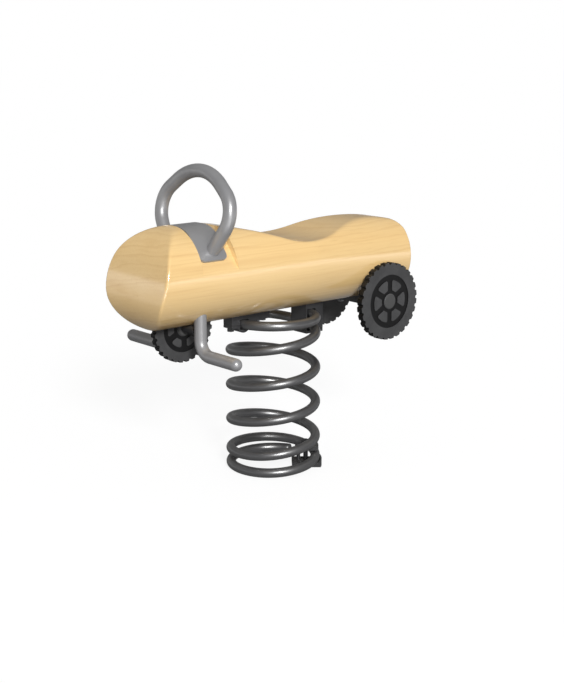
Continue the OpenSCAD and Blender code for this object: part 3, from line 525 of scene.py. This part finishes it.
def tail_line():
    """The log's back behind the crest and the round-over at the top of the tail."""
    back = (-CREST_X, CREST_H - BACK_R)
    end_x = TAIL_TOP_R - TAIL_X
    end = (end_x, back[1] + math.sqrt((BACK_R - TAIL_TOP_R) ** 2 - (end_x + CREST_X) ** 2))
    turn = math.atan2(end[1] - back[1], end[0] - back[0])
    return arc(back, BACK_R, QUARTER, turn)[1:] + arc(end, TAIL_TOP_R, turn, math.pi)[1:]


def side_outline():
    """The log's side view as a closed line, in x and height above the belly."""
    top = 2 * LOG_R + OVER
    return np.array([(-TAIL_X, -OVER)] + nose_line(top) + seat_line(top) + tail_line())


class SideField:
    """Distance to the side outline, negative inside, kept on a fine grid and read between its points."""

    STEP = 1.0
    MARGIN = 60.0

    def __init__(self):
        line = side_outline()
        self.low = line.min(axis=0) - self.MARGIN
        spans = (line.max(axis=0) + self.MARGIN - self.low) / self.STEP
        xs, hs = [low + np.arange(int(span)) * self.STEP for low, span in zip(self.low, spans)]
        px, ph = np.meshgrid(xs, hs, indexing="ij")
        best = np.full(px.shape, np.inf)
        inside = np.zeros(px.shape, bool)
        for a, b in zip(line, np.roll(line, -1, axis=0)):
            d = b - a
            if not d.any():
                continue
            t = np.clip(((px - a[0]) * d[0] + (ph - a[1]) * d[1]) / (d @ d), 0, 1)
            best = np.minimum(best, (px - a[0] - t * d[0]) ** 2 + (ph - a[1] - t * d[1]) ** 2)
            if d[1]:
                crosses = (a[1] > ph) != (b[1] > ph)
                inside ^= crosses & (px < a[0] + (ph - a[1]) * d[0] / d[1])
        self.values = np.sqrt(best) * np.where(inside, -1.0, 1.0)

    def at(self, x, h):
        g = self.values
        u = np.clip((x - self.low[0]) / self.STEP, 0, g.shape[0] - 1.001)
        v = np.clip((h - self.low[1]) / self.STEP, 0, g.shape[1] - 1.001)
        i, j = u.astype(int), v.astype(int)
        fu, fv = u - i, v - j
        return ((g[i, j] * (1 - fu) + g[i + 1, j] * fu) * (1 - fv)
                + (g[i, j + 1] * (1 - fu) + g[i + 1, j + 1] * fu) * fv)


SIDE = SideField()


def plate_seat_field(y, h):
    """Distance to the space under the saddle plate, negative inside it, in a section across the log."""
    normal = QUARTER - PLATE_SLOPE
    n = (math.cos(normal), math.sin(normal))
    top = 2 * LOG_R - PLATE_SINK
    corner_y = (FLAT_D + SEAT_FIT - (LOG_R - PLATE_SINK) * n[1]) / n[0]
    bend = (corner_y - PLATE_BEND_R * math.tan(PLATE_SLOPE / 2), top - PLATE_BEND_R)
    across = np.abs(y)
    flat = np.maximum(h - top + SEAT_FIT, n[0] * across + n[1] * (h - LOG_R) - FLAT_D)
    dy, dh = across - bend[0], h - bend[1]
    turn = np.arctan2(dh, dy)
    on_bend = (turn > normal) & (turn < QUARTER)
    return np.where(on_bend, np.hypot(dy, dh) - PLATE_BEND_R + SEAT_FIT, flat)


def log_field(x, y, h):
    """Distance to the log's skin, negative inside, with its arrises rounded."""
    taper = (LOG_R - TAIL_R) / (TAIL_X - TAPER_X)
    r = LOG_R - taper * np.maximum(-TAPER_X - x, 0)
    drum = np.hypot(y, h - r) - r
    side = SIDE.at(x, h)
    body = np.maximum(drum, side) + np.maximum(ARRIS - np.abs(drum - side), 0) ** 2 / (4 * ARRIS)
    seated = (x > PLATE_SEAT[0]) & (x < PLATE_SEAT[1])
    return np.where(seated, np.maximum(body, plate_seat_field(y, h)), body)


# Skin of the log: where its spokes start, how many there are and how far they may reach, and the angles
# in degrees past which an edge is sharp and a normal isn't the field's
HEART_H = 84.0
NOSE_CAP_X = 266.0
TAIL_CAP_X = -236.0
LOG_SPOKES = 340
CAP_RINGS = 72
RING_STEP = 4.0
WALL = 0.12
REACH = 160.0
HALVINGS = 30
CUT_BELOW = 20.0
SKIN_SHARP = 38
SKIN_TRUST = 20


def ring_places():
    """Where the rings of the log's skin start on its heart line, and how far their spokes tilt forward."""
    stops = [TAIL_CAP_X, *PLATE_SEAT, NOSE_CAP_X]
    xs = []
    for a, b in zip(stops, stops[1:]):
        a = a + WALL if a in PLATE_SEAT else a
        b = b - WALL if b in PLATE_SEAT else b
        xs += list(np.linspace(a, b, math.ceil((b - a) / RING_STEP) + 1))
    tilts = np.linspace(0, QUARTER, CAP_RINGS + 1)[1:-1]
    tail = [(TAIL_CAP_X, -t) for t in tilts[::-1]]
    return tail + [(x, 0.0) for x in xs] + [(NOSE_CAP_X, t) for t in tilts]


def log_skin():
    """Casts spokes out from the log's heart line to its skin, ring by ring, with a fan at each end."""
    rings = ring_places()
    spokes = np.linspace(0, 2 * math.pi, LOG_SPOKES, endpoint=False)
    start, way = [], []
    for x, t in rings:
        for s in spokes:
            start.append((x, 0.0, HEART_H))
            way.append((math.sin(t), math.cos(t) * math.cos(s), math.cos(t) * math.sin(s)))
    start = np.array(start + [(TAIL_CAP_X, 0, HEART_H), (NOSE_CAP_X, 0, HEART_H)])
    way = np.array(way + [(-1, 0, 0), (1, 0, 0)])
    near, far = np.zeros(len(way)), np.full(len(way), REACH)
    for _ in range(HALVINGS):
        mid = (near + far) / 2
        p = start + way * mid[:, None]
        out = log_field(p[:, 0], p[:, 1], p[:, 2]) > 0
        far = np.where(out, mid, far)
        near = np.where(out, near, mid)
    points = start + way * near[:, None] + (0, 0, BELLY_Z)
    last = (len(rings) - 1) * LOG_SPOKES
    tail_pole, nose_pole = last + LOG_SPOKES, last + LOG_SPOKES + 1
    faces = []
    for k in range(LOG_SPOKES):
        n = (k + 1) % LOG_SPOKES
        faces += [(i + k, i + LOG_SPOKES + k, i + LOG_SPOKES + n, i + n) for i in range(0, last, LOG_SPOKES)]
        faces += [(tail_pole, k, n), (nose_pole, last + n, last + k)]
    return points * MM, faces


def field_slope(points):
    """Unit normals of the log's skin, from how its distance field changes round each point."""
    slopes = []
    for step in np.eye(3):
        ahead, behind = points + step, points - step
        slopes.append(log_field(*ahead.T) - log_field(*behind.T))
    slopes = np.array(slopes).T
    return slopes / np.maximum(np.linalg.norm(slopes, axis=1, keepdims=True), 1e-9)


def shade_skin(piece, angle, trust):
    """Shades the log's skin by its own field, and the cut faces, which turn away from it, by their facets."""
    shade(piece, angle)
    mesh = piece.data
    corners = np.empty(len(mesh.loops) * 3, np.float32)
    mesh.corner_normals.foreach_get("vector", corners)
    corners = corners.reshape(-1, 3).astype(float)
    places = np.empty(len(mesh.vertices) * 3, np.float32)
    mesh.vertices.foreach_get("co", places)
    owners = np.empty(len(mesh.loops), np.int32)
    mesh.loops.foreach_get("vertex_index", owners)
    slopes = field_slope(places.reshape(-1, 3).astype(float) / MM - (0, 0, BELLY_Z))[owners]
    agree = np.sum(slopes * corners, axis=1) > math.cos(math.radians(trust))
    mesh.normals_split_custom_set(np.where(agree[:, None], slopes, corners).tolist())


def log_piece(material):
    log = new_piece("log", *log_skin())
    face_outwards(log)
    low = BELLY_Z - CUT_BELOW
    wheel = (WHEEL_X, WHEEL_Z)
    pockets = [box_shape((back, -half, low), (front, half, top)) for back, front, half, top in POCKETS]
    bores = [drum_shape((x, y), radius, low, top, "Z", 32) for x, y, (radius, top) in BORES]
    cut_away(log, [
        drum_shape(wheel, SLOT_R, -SLOT_HALF, SLOT_HALF, "Y"),
        drum_shape(wheel, GROOVE_R, -STEM_Y, STEM_Y, "Y", 48),
        joined(pockets),
        joined(bores),
    ])
    shade_skin(log, SKIN_SHARP, SKIN_TRUST)
    log.data.materials.clear()
    log.data.materials.append(material)
    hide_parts("log_body")
    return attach(log, "rider")


# Spring
def ramp(x):
    if x < -BEND_TURNS:
        return 0.0
    return x if x > BEND_TURNS else (x + BEND_TURNS) ** 2 / (4 * BEND_TURNS)


def wire_height(u):
    climb = CLIMB_RISE / (CLIMB_TO - CLIMB_FROM)
    settle = SETTLE_PITCH * (FREE_FROM - CLIMB_TO)
    free = (WIRE_TOP - WIRE_LOW - CLIMB_RISE - settle) / (FREE_TO - FREE_FROM)
    return (WIRE_LOW + climb * ramp(u - CLIMB_FROM) + (SETTLE_PITCH - climb) * ramp(u - CLIMB_TO)
            + (free - SETTLE_PITCH) * ramp(u - FREE_FROM) - free * ramp(u - FREE_TO))


WIRE_RINGS_PER_TURN = 60
WIRE_SIDES = 24
WIRE_CHAMFER = 1.2
WIRE_SHARP = 50


def spring_piece(material):
    """The round wire, wound as the CAD spring is, with chamfered ends and a flat under the lowest coil."""
    count = round(TURNS * WIRE_RINGS_PER_TURN)
    ends = WIRE_CHAMFER / (2 * math.pi * COIL_R)
    places = [(0.0, WIRE_R - WIRE_CHAMFER), (ends, WIRE_R)]
    places += [(TURNS * i / count, WIRE_R) for i in range(1, count)]
    places += [(TURNS - ends, WIRE_R), (TURNS, WIRE_R - WIRE_CHAMFER)]
    points = []
    for u, r in places:
        a = WIRE_START + 2 * math.pi * u
        for k in range(WIRE_SIDES):
            b = 2 * math.pi * k / WIRE_SIDES
            out = COIL_R + r * math.cos(b)
            points.append((out * math.cos(a), out * math.sin(a), max(0.0, wire_height(u) + r * math.sin(b))))
    faces = []
    for i in range(len(places) - 1):
        for k in range(WIRE_SIDES):
            a, b = i * WIRE_SIDES + k, i * WIRE_SIDES + (k + 1) % WIRE_SIDES
            faces.append((a, b, b + WIRE_SIDES, a + WIRE_SIDES))
    last = (len(places) - 1) * WIRE_SIDES
    faces.append(tuple(range(WIRE_SIDES)))
    faces.append(tuple(range(last + WIRE_SIDES - 1, last - 1, -1)))
    spring = new_piece("coil_spring", np.array(points) * MM, faces)
    face_outwards(spring)
    shade(spring, WIRE_SHARP)
    spring.data.materials.append(material)
    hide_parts("spring")
    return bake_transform(spring)


# Carried-over solids
WELD_GAP = 1e-6
EDGE_TURN = math.radians(32)


def dress(node, material, edge=0.0):
    """Gives a CAD solid its finish, and a fine rounded edge where edge is a width in metres."""
    piece = NODES[node]
    piece.data.materials.clear()
    piece.data.materials.append(material)
    if edge:
        weld = piece.modifiers.new("join", "WELD")
        weld.merge_threshold = WELD_GAP
        bevel = piece.modifiers.new("fine_edge", "BEVEL")
        bevel.width = edge
        bevel.segments = 2
        bevel.limit_method = "ANGLE"
        bevel.angle_limit = EDGE_TURN
        bevel.harden_normals = True
    return piece


# The second colour of each coat is the lighter colour of its edges, partly wear and partly a painted
# highlight.
GREY_COAT = coated_metal("grey_powder_coat", linear(136, 136, 138), linear(176, 176, 178), 0.37, 1.0, 0.15)
DARK_COAT = coated_metal("dark_powder_coat", linear(58, 58, 60), linear(108, 108, 110), 0.36, 1.0, 0.0)
CLAMP_COAT = coated_metal("clamp_powder_coat", linear(48, 48, 50), linear(110, 110, 112), 0.42, 0.35, 0.5)
BLACK_STEEL = coated_metal("blackened_steel", linear(40, 40, 42), linear(120, 120, 122), 0.38, 0.45, 0.7)
ZINC = zinc_plate()
CAP = moulded_plastic("cap_plastic", linear(78, 78, 78), 0.5)
NYLON = moulded_plastic("bush_nylon", linear(214, 212, 204), 0.45)
REAR_BOARD = wheel_board("rear_wheel_board", REAR_FACE, REAR_OUT)
FRONT_BOARD = wheel_board("front_wheel_board", None, FRONT_HALF)

log_piece(turned_wood())
spring_piece(DARK_COAT)

FINISHES = (
    # finish, width of the fine edge, nodes
    (GREY_COAT, 0.0, ("handle_loop", "footrest_left", "footrest_right")),
    (GREY_COAT, 0.0009, ("saddle_plate",)),
    (CLAMP_COAT, 0.0009, ("front_clamp_seat", "front_clamp_jaw", "rear_clamp_seat", "rear_clamp_jaw")),
    (CLAMP_COAT, 0.0009, ("anchor_foot", "anchor_claw", "rear_axle_beam")),
    (CLAMP_COAT, 0.0, ("rear_axle_sleeves", "front_axle_sleeves")),
    (BLACK_STEEL, 0.0005, ("clamp_bolts", "anchor_nut", "anchor_stud")),
    (BLACK_STEEL, 0.0, ("clamp_washers", "anchor_washer")),
    (REAR_BOARD, 0.0004, ("rear_wheel_left", "rear_wheel_right")),
    (FRONT_BOARD, 0.0004, ("front_wheel",)),
    (CAP, 0.0, ("hub_cap_left", "hub_cap_right", "front_hub_discs")),
    (NYLON, 0.0, ("front_bush", "rear_bush_left", "rear_bush_right")),
    (ZINC, 0.0005, ("seat_screws", "beam_screws", "rear_axle_nuts")),
    (ZINC, 0.0, ("handle_studs", "front_axle", "rear_axle")),
)
for finish, edge_width, names in FINISHES:
    for name in names:
        dress(name, finish, edge_width)


# Studio: the camera, the ways to the lamps and their levels, the sky, and what shiny surfaces see of it
CAMERA_PLACE = (1.74413, 2.04096, 0.89446)
CAMERA_WAY = (-0.63800, -0.73597, -0.22650)
CAMERA_LENS = 69.17
SENSOR = 36.0
CLIP = (0.05, 100.0)
KEY_FROM = (0.40, 0.80, 0.45)
KEY_LEVEL = 0.76
KEY_SPREAD = 12
FILL_FROM = (-0.60, -0.60, 0.30)
FILL_LEVEL = 0.15
FILL_SPREAD = 40
PANEL_PLACE = (0.466, 1.214, 0.62)
PANEL_AIM = (0.05, 0.0, 0.42)
PANEL_SIZE = (0.17, 1.3)
PANEL_LEVEL = 4.0
SKY_LOW = 0.80
SKY_TOP = 0.26
CARD_WAY = (0.65, -0.74, 0.0)
CARD_SPAN = (0.0, 0.9)
CARD_TOP = 0.14
CARD_EDGE = (-0.004, 0.01)
GLOSS_LOW = 0.95
GLOSS_HIGH = 0.18
FLOOR_SHADE = 0.15
FLOOR_HALF = 30.0
FLOOR_DROP = 0.0004
NEAR_GLOSS = (0.2, 0.15)
FAR_GLOSS = (6.0, 1.0)
CARD_SIDE_SPAN = (-1.0, 1.0)
CARD_SIDE_GLOSS = 0.45
FRONT_WAY = (0.65, 0.76, 0.0)
FRONT_EDGE = (0.85, 0.97)
FRONT_FROM = (0.9, 1.4)
FRONT_GLOSS = 1.2


def sun_height(way):
    return way[2] / math.hypot(*way)


def seen_directly(tree):
    """The ray's kinds: straight from the camera or through glass, and by way of a glossy surface."""
    path = tree.nodes.new("ShaderNodeLightPath").outputs
    return calc(tree, "MAXIMUM", path["Is Camera Ray"], path["Is Transmission Ray"]), path["Is Glossy Ray"]


def white_sky(scene):
    """White to the camera. As light it dims from the horizon up. In reflections it is dim but for a white
    card that stands on the horizon, over against the key, and fades towards its foot."""
    world = bpy.data.worlds.new("studio")
    scene.world = world
    world.use_nodes = True
    tree = world.node_tree
    seen, mirrored = seen_directly(tree)
    way = tree.nodes.new("ShaderNodeTexCoord").outputs["Generated"]
    up = make(tree, "ShaderNodeSeparateXYZ", Vector=way).outputs["Z"]
    height = calc(tree, "MINIMUM", calc(tree, "MAXIMUM", up, 0.0), 1.0)
    light = calc(tree, "ADD", SKY_LOW, calc(tree, "MULTIPLY", height, SKY_TOP - SKY_LOW))
    card = ranged(tree, dotted(tree, way, CARD_WAY), *CARD_SPAN, 0.0, CARD_TOP)
    shine = ranged(tree, up, 0.0, CARD_TOP, CARD_SIDE_GLOSS, GLOSS_LOW)
    gloss = ranged(tree, calc(tree, "SUBTRACT", up, card), *CARD_EDGE, shine, GLOSS_HIGH)
    lit = calc(tree, "ADD", calc(tree, "MULTIPLY", light, calc(tree, "SUBTRACT", 1.0, mirrored)),
               calc(tree, "MULTIPLY", gloss, mirrored))
    strength = calc(tree, "MAXIMUM", seen, lit)
    tree.links.new(strength, tree.nodes["Background"].inputs["Strength"])
    tree.nodes["Background"].inputs["Color"].default_value = (1, 1, 1, 1)


def pale_floor():
    """A white floor that keeps the shadow. In reflections it brightens with its distance from the object,
    and all along a sheet that lies in front."""
    corner = FLOOR_HALF
    turns = ((-corner, -corner), (corner, -corner), (corner, corner), (-corner, corner))
    corners = [(x, y, -FLOOR_DROP) for x, y in turns]
    floor = new_piece("floor", corners, [(0, 1, 2, 3)])
    paper = bpy.data.materials.new("pale_floor")
    paper.use_nodes = True
    tree = paper.node_tree
    tree.nodes.remove(tree.nodes["Principled BSDF"])
    matt = make(tree, "ShaderNodeBsdfDiffuse", Color=(FLOOR_SHADE, FLOOR_SHADE, FLOOR_SHADE, 1))
    glow = make(tree, "ShaderNodeEmission", Color=(1, 1, 1, 1))
    suns = KEY_LEVEL * sun_height(KEY_FROM) + FILL_LEVEL * sun_height(FILL_FROM)
    lit = FLOOR_SHADE * (SKY_TOP + (SKY_LOW - SKY_TOP) / 3 + suns)
    seen, mirrored = seen_directly(tree)
    place = object_place(tree)
    away = make(tree, "ShaderNodeVectorMath", {"operation": "LENGTH"}, Vector=place).outputs["Value"]
    gloss = ranged(tree, away, NEAR_GLOSS[0], FAR_GLOSS[0], NEAR_GLOSS[1], FAR_GLOSS[1])
    side = ranged(tree, dotted(tree, place, CARD_WAY), *CARD_SIDE_SPAN, 1.0, CARD_SIDE_GLOSS)
    outward = make(tree, "ShaderNodeVectorMath", {"operation": "NORMALIZE"}, Vector=place).outputs[0]
    sheet = ranged(tree, away, *FRONT_FROM, 0.0, FRONT_GLOSS)
    front = ranged(tree, dotted(tree, outward, FRONT_WAY), *FRONT_EDGE, 0.0, sheet)
    gloss = calc(tree, "MAXIMUM", calc(tree, "MULTIPLY", gloss, side), front)
    shown = calc(tree, "MAXIMUM", seen, calc(tree, "MULTIPLY", mirrored, gloss))
    tree.links.new(calc(tree, "MULTIPLY", shown, 1.0 - lit), glow.inputs["Strength"])
    both = tree.nodes.new("ShaderNodeAddShader")
    tree.links.new(matt.outputs[0], both.inputs[0])
    tree.links.new(glow.outputs[0], both.inputs[1])
    tree.links.new(both.outputs[0], tree.nodes["Material Output"].inputs["Surface"])
    floor.data.materials.append(paper)


def add_lamp(scene, lamp, way):
    """Hangs a lamp that shines back along way."""
    hung = bpy.data.objects.new(lamp.name, lamp)
    hung.rotation_euler = Vector(way).to_track_quat("Z", "Y").to_euler()
    scene.collection.objects.link(hung)
    return hung


def sun(scene, name, way, level, spread):
    lamp = bpy.data.lights.new(name, "SUN")
    lamp.energy = level * math.pi
    lamp.angle = math.radians(spread)
    return add_lamp(scene, lamp, way)


def soft_panel(scene):
    """A tall soft box beside the object, for the long streaks on the tubes and the varnish."""
    lamp = bpy.data.lights.new("panel", "AREA")
    lamp.shape = "RECTANGLE"
    lamp.size, lamp.size_y = PANEL_SIZE
    lamp.energy = PANEL_LEVEL * math.pi * PANEL_SIZE[0] * PANEL_SIZE[1]
    hung = add_lamp(scene, lamp, Vector(PANEL_PLACE) - Vector(PANEL_AIM))
    hung.location = PANEL_PLACE
    hung.visible_camera = False


def camera(scene):
    lens = bpy.data.cameras.new("camera")
    lens.lens = CAMERA_LENS
    lens.sensor_width = SENSOR
    lens.sensor_fit = "AUTO"
    lens.clip_start, lens.clip_end = CLIP
    stand = bpy.data.objects.new("camera", lens)
    stand.location = CAMERA_PLACE
    stand.rotation_euler = Vector(CAMERA_WAY).to_track_quat("-Z", "Y").to_euler()
    scene.collection.objects.link(stand)
    scene.camera = stand


def studio():
    scene = bpy.context.scene
    scene.view_settings.view_transform = "Standard"
    white_sky(scene)
    pale_floor()
    sun(scene, "key", KEY_FROM, KEY_LEVEL, KEY_SPREAD)
    sun(scene, "fill", FILL_FROM, FILL_LEVEL, FILL_SPREAD).visible_glossy = False
    soft_panel(scene)
    camera(scene)


studio()
